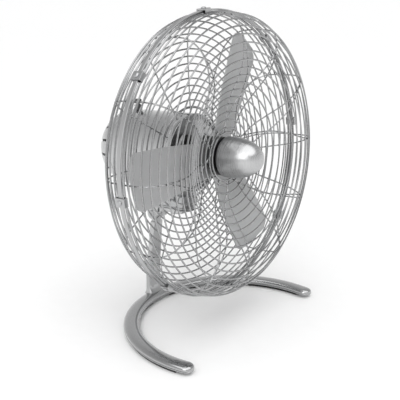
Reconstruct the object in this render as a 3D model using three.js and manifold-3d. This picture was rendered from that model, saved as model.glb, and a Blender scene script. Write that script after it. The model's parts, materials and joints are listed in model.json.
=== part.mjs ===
// Desk fan: a wire-caged rotor on a tilting, oscillating head, on a bent post and a C-shaped base.
// Millimetres, +Z up. The fan blows towards -Y and stands on Z = 0.
import * as THREE from 'three';
import { mergeVertices } from 'three/addons/utils/BufferGeometryUtils.js';
import Module from 'manifold-3d';

const wasm = await Module();
wasm.setup();

// ---------------------------------------------------------------- driving dimensions
const gap = 0.3;                      // clearance between pieces that touch on the real object

const baseRadius = 132;               // centreline of the C-shaped base
const baseHalfAngle = 100;            // degrees that each arm reaches round from the back
const baseWidth = 19.5;
const baseHeight = 8.5;
const padHeight = 3;
const padWidth = 13;
const padDrop = 0.4;                  // how far the base's underside lies below the pads' full height

const postWidth = 24;
const postThickness = 6;
const screwSpacing = 12;
const screwOffset = 4;                // how far behind the base's centreline the post is fixed

const headCentre = [0, 30, 215.5];    // middle of the joint between the two guard halves
const headTilt = 3;                   // degrees, nose up
const pivot = { y: 102.5, z: -84.5 }; // tilt axis, in the head's own axes
const swivelY = 69;                   // swivel axis, in the head's own axes
const knuckleRadius = 8;
const knuckleWidth = 12;
const pinRadius = 3;
const pinHole = pinRadius + gap;
const cheekThickness = 5.2;

const bandRadius = 170;               // inner radius of the strip that joins the guards
const bandWidth = 8;
const bandThickness = 1.6;
const wireRadius = 1.6;
const spokeCount = 8;
const clipCount = 8;
const clipPhase = 6;                  // degrees
const clipHalfWidth = 6;
const clipWall = 3;
const clipLip = 1.6;

const housingRadius = 49;
const housingWall = 1.6;
const housingFront = 36;
const housingRear = 136;
const capDepth = 40;
const capSlotCount = 16;

const shaftRadius = 4;
const bearingRadius = 11;
const hubRadius = 23;
const bladeCount = 3;
const bladePhase = 69;                // degrees
const bladePitch = 8;                 // degrees
const bladeThickness = 1.6;
const bladeTip = 149;
const noseRadius = 24.5;
const noseLength = 48;
const noseWall = 1.5;
const knobStemRadius = 2.9;

// ---------------------------------------------------------------- materials
const steel = { color: 0xb9bbbc, roughness: 0.28, metalness: 1 };
const wireSteel = { color: 0xa4a6a7, roughness: 0.3, metalness: 1 };
const bladeAluminium = { color: 0xa9abad, roughness: 0.45, metalness: 0.9 };
const blackPlastic = { color: 0x1a1a1b, roughness: 0.55, metalness: 0 };
const rubber = { color: 0x141414, roughness: 0.9, metalness: 0 };
const zincSteel = { color: 0x9a9c9e, roughness: 0.35, metalness: 1 };
const copper = { color: 0xb06a3a, roughness: 0.4, metalness: 1 };

// ---------------------------------------------------------------- helpers
const radians = THREE.MathUtils.degToRad;

function solid(geometry) {
  const bare = geometry.index ? geometry.toNonIndexed() : geometry.clone();
  bare.deleteAttribute('normal');
  bare.deleteAttribute('uv');
  const merged = mergeVertices(bare, 1e-4);
  return new wasm.Manifold(new wasm.Mesh({
    numProp: 3,
    vertProperties: Float32Array.from(merged.attributes.position.array),
    triVerts: Uint32Array.from(merged.index.array),
  }));
}

function geometryOf(manifold) {
  const mesh = manifold.getMesh();
  const geometry = new THREE.BufferGeometry();
  geometry.setAttribute('position', new THREE.BufferAttribute(new Float32Array(mesh.vertProperties), 3));
  geometry.setIndex(new THREE.BufferAttribute(new Uint32Array(mesh.triVerts), 1));
  return geometry;
}

function join(geometries) {
  return geometryOf(geometries.map(solid).reduce((whole, piece) => whole.add(piece)));
}

function cut(geometry, tools) {
  return geometryOf(tools.map(solid).reduce((whole, tool) => whole.subtract(tool), solid(geometry)));
}

function addPart(group, name, geometry, finish) {
  geometry.computeVertexNormals();
  const mesh = new THREE.Mesh(geometry, new THREE.MeshStandardMaterial(finish));
  mesh.name = name;
  group.add(mesh);
  return mesh;
}

// A box given by its two corners.
function boxBetween([x0, y0, z0], [x1, y1, z1]) {
  const box = new THREE.BoxGeometry(x1 - x0, y1 - y0, z1 - z0);
  return box.translate((x0 + x1) / 2, (y0 + y1) / 2, (z0 + z1) / 2);
}

// A body turned about the Y axis from [radius, y] points, which start and end on the axis
// or close on themselves.
function turned(profile, segments = 32) {
  const points = profile.map(([radius, y]) => new THREE.Vector2(radius, y));
  const geometry = new THREE.LatheGeometry(points, segments);
  return THREE.ShapeUtils.area(points) > 0 ? geometry : flipped(geometry);
}

function flipped(geometry) {
  const index = geometry.index.array;
  for (let i = 0; i < index.length; i += 3) {
    const first = index[i];
    index[i] = index[i + 2];
    index[i + 2] = first;
  }
  return geometry;
}

// A disc or tube along Y between two places; inner radius 0 makes a disc.
function tubeY(outer, inner, y0, y1, segments = 32) {
  if (inner === 0) return turned([[0, y0], [outer, y0], [outer, y1], [0, y1]], segments);
  return turned([[inner, y0], [outer, y0], [outer, y1], [inner, y1], [inner, y0]], segments);
}

function rodX(radius, x0, x1, y, z, segments = 20) {
  const rod = new THREE.CylinderGeometry(radius, radius, x1 - x0, segments);
  return rod.rotateZ(Math.PI / 2).translate((x0 + x1) / 2, y, z);
}

function rodZ(radius, x, y, z0, z1, segments = 20) {
  const rod = new THREE.CylinderGeometry(radius, radius, z1 - z0, segments);
  return rod.rotateX(Math.PI / 2).translate(x, y, (z0 + z1) / 2);
}

// A side view in [y, z] points, given a width along X.
function plateX(outline, width, x0 = -width / 2) {
  const shape = new THREE.Shape(outline.map(([y, z]) => new THREE.Vector2(y, z)));
  const plate = new THREE.ExtrudeGeometry(shape, {
    depth: width, bevelEnabled: false, curveSegments: 6,
  });
  // The shape's x, y and depth become Y, Z and X.
  plate.applyMatrix4(new THREE.Matrix4().set(0, 0, 1, x0, 1, 0, 0, 0, 0, 1, 0, 0, 0, 0, 0, 1));
  return plate;
}

// ---------------------------------------------------------------- base
const baseFloor = padHeight - padDrop + gap;
const baseMiddle = baseFloor + baseHeight / 2;
const baseTop = baseFloor + baseHeight;

class FlatArc extends THREE.Curve {
  getPoint(t, target = new THREE.Vector3()) {
    const angle = radians(-baseHalfAngle + 2 * baseHalfAngle * t);
    return target.set(baseRadius * Math.sin(angle), baseRadius * Math.cos(angle), baseMiddle);
  }
}

// The flattened tube's section: flat top and bottom with half-round sides.
function ovalSection(width, height) {
  const radius = height / 2;
  const reach = width / 2 - radius;
  const shape = new THREE.Shape();
  shape.moveTo(-radius, -reach);
  shape.absarc(0, reach, radius, Math.PI, 0, true);
  shape.absarc(0, -reach, radius, 0, -Math.PI, true);
  return shape;
}

function baseTube() {
  const tube = new THREE.ExtrudeGeometry(ovalSection(baseWidth, baseHeight), {
    steps: 24, extrudePath: new FlatArc(), bevelEnabled: false, curveSegments: 4,
  });
  const pieces = [tube];
  for (const side of [-1, 1]) {
    const angle = radians(baseHalfAngle) * side;
    const tip = new THREE.SphereGeometry(1, 12, 6);
    tip.scale(baseWidth / 2, baseWidth / 2, baseHeight / 2 - 0.1);
    tip.translate(baseRadius * Math.sin(angle), baseRadius * Math.cos(angle), baseMiddle);
    pieces.push(tip);
  }
  return join(pieces);
}

// The screw itself at clearance 0, or the counterbored hole that it sits in.
function screwFromBelow(x, y, clearance) {
  const headBottom = clearance > 0 ? baseFloor - 3 : baseFloor + 0.6;
  const screwHead = rodZ(4 + clearance, x, y, headBottom, baseFloor + 4 + clearance, 16);
  const shank = rodZ(2 + clearance, x, y, baseFloor + 2, baseTop + 8 + clearance, 16);
  return join([screwHead, shank]);
}

function padSector(middle, half) {
  const shape = new THREE.Shape();
  const [from, to] = [radians(90 - middle - half), radians(90 - middle + half)];
  shape.absarc(0, 0, baseRadius + padWidth / 2, from, to, false);
  shape.absarc(0, 0, baseRadius - padWidth / 2, to, from, true);
  return new THREE.ExtrudeGeometry(shape, {
    depth: padHeight - padDrop, bevelEnabled: false, curveSegments: 5,
  });
}

// ---------------------------------------------------------------- frames of reference
const fan = new THREE.Group();
const stand = new THREE.Group();
const head = new THREE.Group();
head.position.set(...headCentre);
head.rotation.x = radians(-headTilt);
fan.add(stand, head);
head.updateMatrix();
const pivotInStand = new THREE.Vector3(0, pivot.y, pivot.z).applyMatrix4(head.matrix);

// ---------------------------------------------------------------- stand
const screwPlaces = [-screwSpacing / 2, screwSpacing / 2];
const screwTools = screwPlaces.map((x) => screwFromBelow(x, baseRadius + screwOffset, gap));
addPart(stand, 'base_arc', cut(baseTube(), screwTools), steel);
addPart(stand, 'foot_pad_left', padSector(-78, 18), rubber);
addPart(stand, 'foot_pad_right', padSector(78, 18), rubber);
addPart(stand, 'foot_pad_rear_left', padSector(-18, 10), rubber);
addPart(stand, 'foot_pad_rear_right', padSector(18, 10), rubber);
screwPlaces.forEach((x, i) => {
  addPart(stand, `post_screw_${i + 1}`, screwFromBelow(x, baseRadius + screwOffset, 0), zincSteel);
});

// The post's side view: a broad foot on the base, then a thin bar leaning forward to the knuckle.
function postBody() {
  const foot = baseTop + gap;
  const ankle = [baseRadius + 10.5, foot + 16];
  const shin = [baseRadius + 8.5, foot + 45];
  const rearLean = pivotInStand.y + knuckleRadius - 2;
  const outline = [
    [baseRadius - 3, foot],
    [baseRadius + 11, foot],
    ankle,
    shin,
    [rearLean, pivotInStand.z],
    [rearLean - postThickness, pivotInStand.z],
    [shin[0] - postThickness, shin[1]],
    [ankle[0] - postThickness, ankle[1]],
    [baseRadius + 2, foot + 5],
  ];
  const bar = plateX(outline, postWidth);
  const sideRelief = [-1, 1].map((side) => {
    const inner = (knuckleWidth / 2) * side;
    const outer = postWidth * side;
    const clear = knuckleRadius + 3.5;
    return boxBetween(
      [Math.min(inner, outer), pivotInStand.y - 20, pivotInStand.z - clear],
      [Math.max(inner, outer), pivotInStand.y + 20, pivotInStand.z + 20],
    );
  });
  const half = knuckleWidth / 2;
  const barrel = rodX(knuckleRadius, -half, half, pivotInStand.y, pivotInStand.z, 24);
  const pinTool = rodX(pinHole, -30, 30, pivotInStand.y, pivotInStand.z, 20);
  return cut(join([cut(bar, sideRelief), barrel]), [pinTool, ...screwTools]);
}
addPart(stand, 'post', postBody(), steel);

// ---------------------------------------------------------------- tilt arm, in the head's own axes
const cheekInner = knuckleWidth / 2 + 1.4;
const cheekOuter = cheekInner + cheekThickness;
const armTop = -73;
const armThickness = 5;
const spindleRadius = 6;
const caseFloor = -71.5;

function tiltArm() {
  const outline = [
    [swivelY - 18, armTop],
    [swivelY - 18, armTop - armThickness],
    [swivelY + 14, armTop - armThickness],
    [pivot.y - 2, pivot.z - knuckleRadius + 1],
    [pivot.y + 6, pivot.z - 4],
    [pivot.y + 6, pivot.z + 5],
    [pivot.y - 5, pivot.z + knuckleRadius - 1],
    [pivot.y - 12, armTop],
  ];
  const arm = plateX(outline, 2 * cheekOuter);
  const barrel = rodX(knuckleRadius, -cheekOuter, cheekOuter, pivot.y, pivot.z, 24);
  const slot = boxBetween([-cheekInner, pivot.y - 13, -140], [cheekInner, pivot.y + 30, 0]);
  const pinTool = rodX(pinHole, -40, 40, pivot.y, pivot.z, 20);
  const spindleHole = rodZ(spindleRadius + gap, 0, swivelY, -100, 0, 20);
  return cut(join([arm, barrel]), [slot, pinTool, spindleHole]);
}
addPart(head, 'tilt_arm', tiltArm(), steel);
addPart(head, 'tilt_pin', join([
  rodX(pinRadius, -cheekOuter - 1, cheekOuter + 4, pivot.y, pivot.z),
  rodX(5, -cheekOuter - 3, -cheekOuter - gap, pivot.y, pivot.z),
]), zincSteel);
addPart(head, 'tilt_nut', cut(
  rodX(5.5, cheekOuter + gap, cheekOuter + 3.6, pivot.y, pivot.z, 6),
  [rodX(pinHole, 0, 30, pivot.y, pivot.z)],
), zincSteel);
for (const [name, side] of [['tilt_washer_left', -1], ['tilt_washer_right', 1]]) {
  const faces = [knuckleWidth / 2 + 0.2, cheekInner - 0.2].map((x) => x * side).sort((a, b) => a - b);
  addPart(head, name, cut(
    rodX(knuckleRadius - 0.5, faces[0], faces[1], pivot.y, pivot.z, 24),
    [rodX(pinHole, -30, 30, pivot.y, pivot.z)],
  ), blackPlastic);
}
addPart(head, 'swivel_spindle', join([
  rodZ(spindleRadius, 0, swivelY, armTop - armThickness - 1, caseFloor + 10),
  rodZ(9, 0, swivelY, armTop - armThickness - 3, armTop - armThickness - gap),
]), zincSteel);

// ---------------------------------------------------------------- gearbox under the motor
const caseHalfWidth = 15;
const caseFront = swivelY - 21;
const caseRear = swivelY + 23;

function gearboxCase() {
  const block = boxBetween([-caseHalfWidth, caseFront, caseFloor + 2.3], [caseHalfWidth, caseRear, -40]);
  const underMotor = tubeY(housingRadius + gap, 0, 0, 200, 48);
  const bore = rodZ(spindleRadius + gap, 0, swivelY, -100, caseFloor + 10.5, 20);
  const vents = [-10, 0, 10].map((offset) =>
    boxBetween([-30, swivelY + offset - 3, -62], [-caseHalfWidth + 2.5, swivelY + offset + 2, -56]));
  return cut(block, [underMotor, bore, ...vents]);
}
addPart(head, 'gearbox_case', gearboxCase(), zincSteel);
addPart(head, 'gearbox_lid', cut(
  boxBetween([-caseHalfWidth, caseFront, caseFloor], [caseHalfWidth, caseRear, caseFloor + 2]),
  [rodZ(spindleRadius + gap, 0, swivelY, -100, 0, 20)],
), zincSteel);

// ---------------------------------------------------------------- motor
const capSpan = capDepth - housingWall;
const knobY = housingRear - 9;

function housingShell() {
  const shell = tubeY(housingRadius, housingRadius - housingWall, housingFront, housingRear, 48);
  const knobHole = rodZ(knobStemRadius + 0.4, 0, knobY, 30, 60, 16);
  return cut(shell, [knobHole]);
}

// A domed cover, with long slots that run from near its middle out to the rim.
function rearCap() {
  const rim = housingRear + gap;
  const arcSteps = 5;
  const outer = [];
  const inner = [];
  for (let i = 0; i <= arcSteps; i += 1) {
    const angle = (i / arcSteps) * radians(80);
    outer.push([housingRadius * Math.cos(angle), rim + capDepth * Math.sin(angle)]);
    inner.unshift([(housingRadius - housingWall) * Math.cos(angle), rim + capSpan * Math.sin(angle)]);
  }
  const dome = turned([...outer, ...inner, outer[0]], 32);
  const slots = [];
  for (let i = 0; i < capSlotCount; i += 1) {
    const slot = new THREE.BoxGeometry(30, 60, 2.4);
    slot.translate(32, rim + 34, 0);
    slot.rotateY((i / capSlotCount) * 2 * Math.PI + radians(4));
    slots.push(slot);
  }
  return cut(dome, slots);
}

addPart(head, 'motor_housing', housingShell(), steel);
addPart(head, 'rear_cap', rearCap(), steel);
addPart(head, 'front_plate', cut(
  tubeY(housingRadius - housingWall - gap, 0, housingFront + 0.5, housingFront + 4, 48),
  [tubeY(shaftRadius + 1, 0, 0, 100, 20)],
), blackPlastic);
addPart(head, 'front_bearing',
  tubeY(bearingRadius, shaftRadius + gap, housingFront + 4.5, housingFront + 12, 24), zincSteel);
addPart(head, 'rear_bearing', tubeY(bearingRadius, shaftRadius + gap, 112, 119, 24), zincSteel);
addPart(head, 'stator_core', tubeY(44, 21, 68, 98, 32), zincSteel);
addPart(head, 'front_winding', tubeY(38, 24, 59.5, 67.6, 24), copper);
addPart(head, 'rear_winding', tubeY(38, 24, 98.4, 107, 24), copper);
addPart(head, 'rear_bracket', cut(
  tubeY(housingRadius - housingWall - gap, bearingRadius + gap, 112, 115, 32),
  [boxBetween([20, 100, -60], [60, 130, 60]), boxBetween([-60, 100, -60], [-20, 130, 60])],
), zincSteel);
addPart(head, 'swing_gearbox', cut(
  boxBetween([-13, 121, -26], [13, 133, 16]),
  [tubeY(shaftRadius + gap, 0, 110, 127, 20), rodZ(knobStemRadius + gap, 0, knobY, 9, 60, 16)],
), blackPlastic);
addPart(head, 'run_capacitor', tubeY(9, 0, 116, 133, 20).translate(31, 0, 0), blackPlastic);
addPart(head, 'speed_switch', tubeY(13, 0, 136, 154, 20), blackPlastic);
addPart(head, 'cord_inlet', cut(
  rodZ(6, 0, 124, -55, -housingRadius - gap, 20),
  [rodZ(3, 0, 124, -60, -51, 16)],
), blackPlastic);

// ---------------------------------------------------------------- rotor
const nose = { front: -14 - noseLength, rear: -14 };

function noseProfile() {
  const points = [[0, nose.front]];
  for (let i = 1; i <= 7; i += 1) {
    const t = i / 7;
    points.push([noseRadius * Math.sqrt(1 - (1 - t) ** 2), nose.front + noseLength * 0.86 * t ** 1.1]);
  }
  const shell = [...points, [noseRadius, nose.rear]];
  const inside = points.slice(1).reverse().map(([radius, y]) => [radius * 0.94, y + noseWall]);
  return [...shell, [noseRadius * 0.94, nose.rear], ...inside, [0, nose.front + 2.5 * noseWall]];
}

function bladeOutline() {
  const shape = new THREE.Shape();
  shape.moveTo(14, 17);
  shape.quadraticCurveTo(80, 20, bladeTip - 8, 14);
  shape.quadraticCurveTo(bladeTip + 1, 12, bladeTip + 1, 2);
  shape.quadraticCurveTo(bladeTip + 1, -25, bladeTip - 9, -42);
  shape.quadraticCurveTo(bladeTip - 13, -50, bladeTip - 22, -48);
  shape.quadraticCurveTo(70, -38, 14, -20);
  shape.closePath();
  return shape;
}

function blade(index) {
  const plate = new THREE.ExtrudeGeometry(bladeOutline(), {
    depth: bladeThickness, bevelEnabled: false, curveSegments: 6,
  });
  plate.translate(0, 0, -bladeThickness / 2);
  plate.rotateX(Math.PI / 2 + radians(bladePitch));
  plate.rotateY(-radians(bladePhase + (360 / bladeCount) * index));
  plate.translate(0, 2, 0);
  return cut(plate, [tubeY(hubRadius + gap, 0, -60, 60, 40)]);
}

addPart(head, 'motor_shaft', tubeY(shaftRadius, 0, -9, 126.5, 20), zincSteel);
addPart(head, 'rotor_core', tubeY(20, shaftRadius + gap, 66, 100, 28), zincSteel);
addPart(head, 'fan_hub', tubeY(hubRadius, shaftRadius + gap, -9, 24, 32), blackPlastic);
for (let i = 0; i < bladeCount; i += 1) {
  addPart(head, `blade_${i + 1}`, blade(i), bladeAluminium);
}
addPart(head, 'hub_collar', tubeY(hubRadius - 5, 0, nose.rear - 4, -9.4, 28), blackPlastic);
addPart(head, 'nose_cone', turned(noseProfile(), 24), steel);

// ---------------------------------------------------------------- guards
// Half sections as [radius, y] points, from the rim to the middle.
const frontSection = [
  [168, -3.5], [165.5, -26], [152, -38.5], [128, -43], [104, -39], [77, -25], [58, -16.6], [29, -12.4],
];
const rearSection = [[168, 3.5], [165, 23], [150, 37], [128, 42], [52, 42]];
const ringSegments = 24;
const spokeSteps = 7;

function sectionCurve(section) {
  return new THREE.SplineCurve(section.map(([radius, y]) => new THREE.Vector2(radius, y)));
}

function ring(radius, y, thickness = wireRadius) {
  const torus = new THREE.TorusGeometry(radius, thickness, 3, ringSegments);
  return torus.rotateX(Math.PI / 2).translate(0, y, 0);
}

function spoke(curve, angle) {
  const flat = curve.getSpacedPoints(spokeSteps).map((point) => new THREE.Vector3(point.x, point.y, 0));
  const path = new THREE.CurvePath();
  for (let i = 1; i < flat.length; i += 1) path.add(new THREE.LineCurve3(flat[i - 1], flat[i]));
  const corners = [0, 1, 2].map((i) => {
    const turn = (i / 3) * 2 * Math.PI;
    return new THREE.Vector2(wireRadius * Math.cos(turn), wireRadius * Math.sin(turn));
  });
  const wire = new THREE.ExtrudeGeometry(new THREE.Shape(corners), {
    steps: spokeSteps, extrudePath: path, bevelEnabled: false,
  });
  return wire.rotateY(-radians(angle));
}

function guard(section, ringCount, innerThickness) {
  const curve = sectionCurve(section);
  const pieces = [];
  for (let i = 0; i <= ringCount; i += 1) {
    const point = curve.getPointAt(i / ringCount);
    pieces.push(ring(point.x, point.y, i === ringCount ? innerThickness : wireRadius));
  }
  for (let i = 0; i < spokeCount; i += 1) pieces.push(spoke(curve, (360 / spokeCount) * i));
  return join(pieces);
}

addPart(head, 'front_guard', guard(frontSection, 6, 1.5), wireSteel);
addPart(head, 'rear_guard', guard(rearSection, 5, 2), wireSteel);
addPart(head, 'guard_band',
  tubeY(bandRadius + bandThickness, bandRadius, -bandWidth / 2, bandWidth / 2, 48), wireSteel);

function clip(index) {
  const inner = bandRadius + bandThickness + gap;
  const lipStart = bandWidth / 2 + 1.4;
  const lipEnd = lipStart + clipLip;
  const block = join([
    boxBetween([inner, -lipEnd, -clipHalfWidth], [inner + clipWall, lipEnd, clipHalfWidth]),
    boxBetween([inner - 5, -lipEnd, -clipHalfWidth], [inner + 1, -lipStart, clipHalfWidth]),
    boxBetween([inner - 5, lipStart, -clipHalfWidth], [inner + 1, lipEnd, clipHalfWidth]),
  ]);
  return block.rotateY(-radians(clipPhase + (360 / clipCount) * index));
}

const clipFace = bandRadius + bandThickness + gap + clipWall;

// A round-headed screw through the clip's outer wall, pointing at the fan's axis.
function clipScrew(index, clearance) {
  const screw = join([
    rodX(1.6 + clearance, clipFace - 2.2 - clearance, clipFace + 1, 0, 0, 10),
    rodX(3 + clearance, clipFace + gap - clearance, clipFace + 2, 0, 0, 10),
  ]);
  return screw.rotateY(-radians(clipPhase + (360 / clipCount) * index));
}

for (let i = 0; i < clipCount; i += 1) {
  addPart(head, `guard_clip_${i + 1}`, cut(clip(i), [clipScrew(i, 0.25)]), wireSteel);
  addPart(head, `clip_screw_${i + 1}`, clipScrew(i, 0), zincSteel);
}

// ---------------------------------------------------------------- controls
addPart(head, 'swing_knob', join([
  rodZ(knobStemRadius, 0, knobY, 10, 56, 16),
  rodZ(4.5, 0, knobY, housingRadius + gap, housingRadius + 9, 20),
  boxBetween([-3, knobY - 5.5, housingRadius + 8], [3, knobY + 5.5, housingRadius + 14]),
]), blackPlastic);
addPart(head, 'speed_knob', turned([
  [0, 159], [4, 159], [4, 174.5], [7.5, 177.5], [13, 177.5], [13, 183], [11, 185], [0, 185],
], 28), blackPlastic);

// ---------------------------------------------------------------- origin under the middle of the whole
const bounds = new THREE.Box3().setFromObject(fan);
fan.position.y = -(bounds.min.y + bounds.max.y) / 2;

export default fan;
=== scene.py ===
"""Looks of the desk fan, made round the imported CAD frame. Metres, +Z up; the fan blows towards -Y."""

import json
import math

import bmesh
import bpy
from mathutils import Matrix, Vector


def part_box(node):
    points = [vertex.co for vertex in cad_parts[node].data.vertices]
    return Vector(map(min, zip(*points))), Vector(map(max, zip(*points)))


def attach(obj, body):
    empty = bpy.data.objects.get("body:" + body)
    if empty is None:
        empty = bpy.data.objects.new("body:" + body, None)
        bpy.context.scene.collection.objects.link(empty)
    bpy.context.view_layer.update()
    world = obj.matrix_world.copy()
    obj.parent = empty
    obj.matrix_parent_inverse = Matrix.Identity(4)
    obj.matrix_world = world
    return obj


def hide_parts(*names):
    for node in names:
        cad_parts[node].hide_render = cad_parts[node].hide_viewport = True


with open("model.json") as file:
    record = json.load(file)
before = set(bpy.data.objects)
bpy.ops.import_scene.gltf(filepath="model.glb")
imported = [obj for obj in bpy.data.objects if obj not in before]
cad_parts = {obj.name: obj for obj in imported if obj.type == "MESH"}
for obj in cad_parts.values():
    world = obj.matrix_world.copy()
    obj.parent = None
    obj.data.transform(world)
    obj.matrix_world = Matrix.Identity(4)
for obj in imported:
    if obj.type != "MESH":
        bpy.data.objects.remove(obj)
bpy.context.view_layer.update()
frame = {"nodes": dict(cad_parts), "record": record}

# ------------------------------------------------------------------ the frame's own places
MM = 0.001
JOINTS = {joint["name"]: joint for joint in frame["record"]["behaviour"]["joints"]}


def middle(node):
    low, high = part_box(node)
    return (low + high) / 2


def axes(right, back, place):
    """A matrix whose X, Y and Z columns are right, back and their cross product."""
    turn = Matrix((right, back, right.cross(back))).transposed().to_4x4()
    turn.translation = place
    return turn


RIGHT = Vector((1, 0, 0))
BACK = Vector(JOINTS["speed_knob_turn"]["axis"]).normalized()
HEAD = axes(RIGHT, BACK, middle("guard_band"))
PIVOT = HEAD.inverted() @ Vector(JOINTS["head_tilt"]["pos_m"]) / MM
SWIVEL = HEAD.inverted() @ Vector(JOINTS["head_swing"]["pos_m"]) / MM
BASE_LOW, BASE_HIGH = (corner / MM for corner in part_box("base_arc"))
PIVOT_WORLD = Vector(JOINTS["head_tilt"]["pos_m"]) / MM

BASE_WIDTH = 19.5
BASE_HEIGHT = BASE_HIGH.z - BASE_LOW.z
BASE_RADIUS = BASE_HIGH.x - BASE_WIDTH / 2
BASE_CENTRE_Y = BASE_HIGH.y - BASE_WIDTH / 2 - BASE_RADIUS
BASE_HALF_ANGLE = 100
BASE_SINK = 1.2              # how far the tube's belly hangs down between its pads
GAP = 0.3                    # clearance that neighbouring pieces keep


# ------------------------------------------------------------------ shape helpers, in millimetres
def smoothstep(t):
    t = min(max(t, 0.0), 1.0)
    return t * t * (3 - 2 * t)


def curve_through(points, steps):
    """Catmull-Rom curve through points of any dimension."""
    made = []
    count = len(points)
    for i in range(count - 1):
        p0, p1, p2, p3 = (Vector(points[min(max(j, 0), count - 1)]) for j in (i - 1, i, i + 1, i + 2))
        for k in range(steps):
            t = k / steps
            v0, v1 = (p2 - p0) / 2, (p3 - p1) / 2
            made.append(
                (2 * p1 - 2 * p2 + v0 + v1) * t**3 + (-3 * p1 + 3 * p2 - 2 * v0 - v1) * t**2 + v0 * t + p1
            )
    made.append(Vector(points[-1]))
    return made


def along(curve, distance):
    """The point a given distance along a polyline, and the direction there."""
    left = distance
    for a, b in zip(curve, curve[1:]):
        step = (b - a).length
        if left <= step or b is curve[-1]:
            return a + (b - a) * (left / step), (b - a).normalized()
        left -= step
    return curve[-1], (curve[-1] - curve[-2]).normalized()


def length_of(curve):
    return sum((b - a).length for a, b in zip(curve, curve[1:]))


def eased(points, radius, closed=True, steps=4):
    """A polygon with its corners rounded by a quadratic bend of about the given radius."""
    made = []
    count = len(points)
    for i, point in enumerate(points):
        corner = Vector(point)
        if not closed and i in (0, count - 1):
            made.append(corner)
            continue
        before, after = Vector(points[i - 1]), Vector(points[(i + 1) % count])
        cut_in = min(radius, (before - corner).length * 0.49)
        cut_out = min(radius, (after - corner).length * 0.49)
        start = corner + (before - corner).normalized() * cut_in
        end = corner + (after - corner).normalized() * cut_out
        for k in range(steps + 1):
            t = k / steps
            made.append(start * (1 - t) ** 2 + corner * 2 * t * (1 - t) + end * t**2)
    return made


def lathe(profile, segments=128):
    """Turns (radius, y) points about Y. The profile closes on itself, or starts and ends on the axis."""
    on_axis = profile[0][0] < 1e-6 and profile[-1][0] < 1e-6
    verts, faces, rows = [], [], []
    for radius, y in profile:
        if radius < 1e-6:
            rows.append([len(verts)] * segments)
            verts.append((0, y, 0))
            continue
        rows.append(list(range(len(verts), len(verts) + segments)))
        for k in range(segments):
            angle = 2 * math.pi * k / segments
            verts.append((radius * math.cos(angle), y, radius * math.sin(angle)))
    pairs = list(zip(rows, rows[1:]))
    if not on_axis:
        pairs.append((rows[-1], rows[0]))
    for low, high in pairs:
        for k in range(segments):
            n = (k + 1) % segments
            face = [low[k], low[n], high[n], high[k]]
            face = [v for i, v in enumerate(face) if v not in face[:i]]
            if len(face) > 2:
                faces.append(face)
    return verts, faces


def loft(rings, closed=False):
    """Skins rings of equal length; an open loft gets flat ends."""
    size = len(rings[0])
    verts = [tuple(v) for ring in rings for v in ring]
    faces = []
    spans = len(rings) if closed else len(rings) - 1
    for i in range(spans):
        a, b = i * size, ((i + 1) % len(rings)) * size
        faces += [[a + k, a + (k + 1) % size, b + (k + 1) % size, b + k] for k in range(size)]
    if not closed:
        faces.append(list(range(size))[::-1])
        faces.append([(len(rings) - 1) * size + k for k in range(size)])
    return verts, faces


def tube(path, radius, sides=10, closed=False):
    """A round wire along a list of points."""
    count = len(path)
    rings = []
    side = None
    for i, point in enumerate(path):
        before = path[i - 1] if closed or i else point
        after = path[(i + 1) % count] if closed or i < count - 1 else point
        run = (Vector(after) - Vector(before)).normalized()
        if side is None:
            side = run.orthogonal().normalized()
        side = (side - run * side.dot(run)).normalized()
        other = run.cross(side)
        rings.append([
            Vector(point) + (side * math.cos(a) + other * math.sin(a)) * radius
            for a in (2 * math.pi * k / sides for k in range(sides))
        ])
    return loft(rings, closed)


def ring_wire(radius, y, thickness, segments=180, sides=10):
    profile = [
        (radius + thickness * math.cos(a), y + thickness * math.sin(a))
        for a in (2 * math.pi * k / sides for k in range(sides))
    ]
    return lathe(profile, segments)


def extruded(outline, low, high):
    """A closed 2D outline [(a, b)] between two depths: gives (a, b, depth) points."""
    count = len(outline)
    verts = [(a, b, low) for a, b in outline] + [(a, b, high) for a, b in outline]
    faces = [[k, (k + 1) % count, count + (k + 1) % count, count + k] for k in range(count)]
    faces.append(list(range(count))[::-1])
    faces.append([count + k for k in range(count)])
    return verts, faces


def moved(shape, matrix):
    verts, faces = shape
    return [tuple(matrix @ Vector(v)) for v in verts], faces


def together(shapes):
    verts, faces = [], []
    for part_verts, part_faces in shapes:
        start = len(verts)
        verts += part_verts
        faces += [[start + v for v in face] for face in part_faces]
    return verts, faces


def block(low, high):
    (x0, y0, z0), (x1, y1, z1) = low, high
    return extruded([(x0, y0), (x1, y0), (x1, y1), (x0, y1)], z0, z1)


# (a, b, depth) points laid as Y, Z and X: a side view given a width.
SIDE_VIEW = Matrix(((0, 0, 1, 0), (1, 0, 0, 0), (0, 1, 0, 0), (0, 0, 0, 1)))
# A lathe about Y turned to stand along X or Z.
ALONG_X = Matrix.Rotation(math.radians(-90), 4, "Z")
ALONG_Z = Matrix.Rotation(math.radians(90), 4, "X")


def about_y(degrees):
    """Turns X towards Z, as seen from the front."""
    return Matrix.Rotation(-math.radians(degrees), 4, "Y")


def modify(obj, kind, **settings):
    modifier = obj.modifiers.new(kind.title(), kind)
    for key, value in settings.items():
        setattr(modifier, key, value)
    return modifier


def mesh_of(name, shape, place):
    """A mesh from a shape in millimetres standing in the given axes, with its faces pointing out."""
    verts, faces = shape
    mesh = bpy.data.meshes.new(name)
    mesh.from_pydata([place @ (Vector(v) * MM) for v in verts], [], faces)
    work = bmesh.new()
    work.from_mesh(mesh)
    bmesh.ops.recalc_face_normals(work, faces=work.faces)
    work.to_mesh(mesh)
    work.free()
    return mesh


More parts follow.
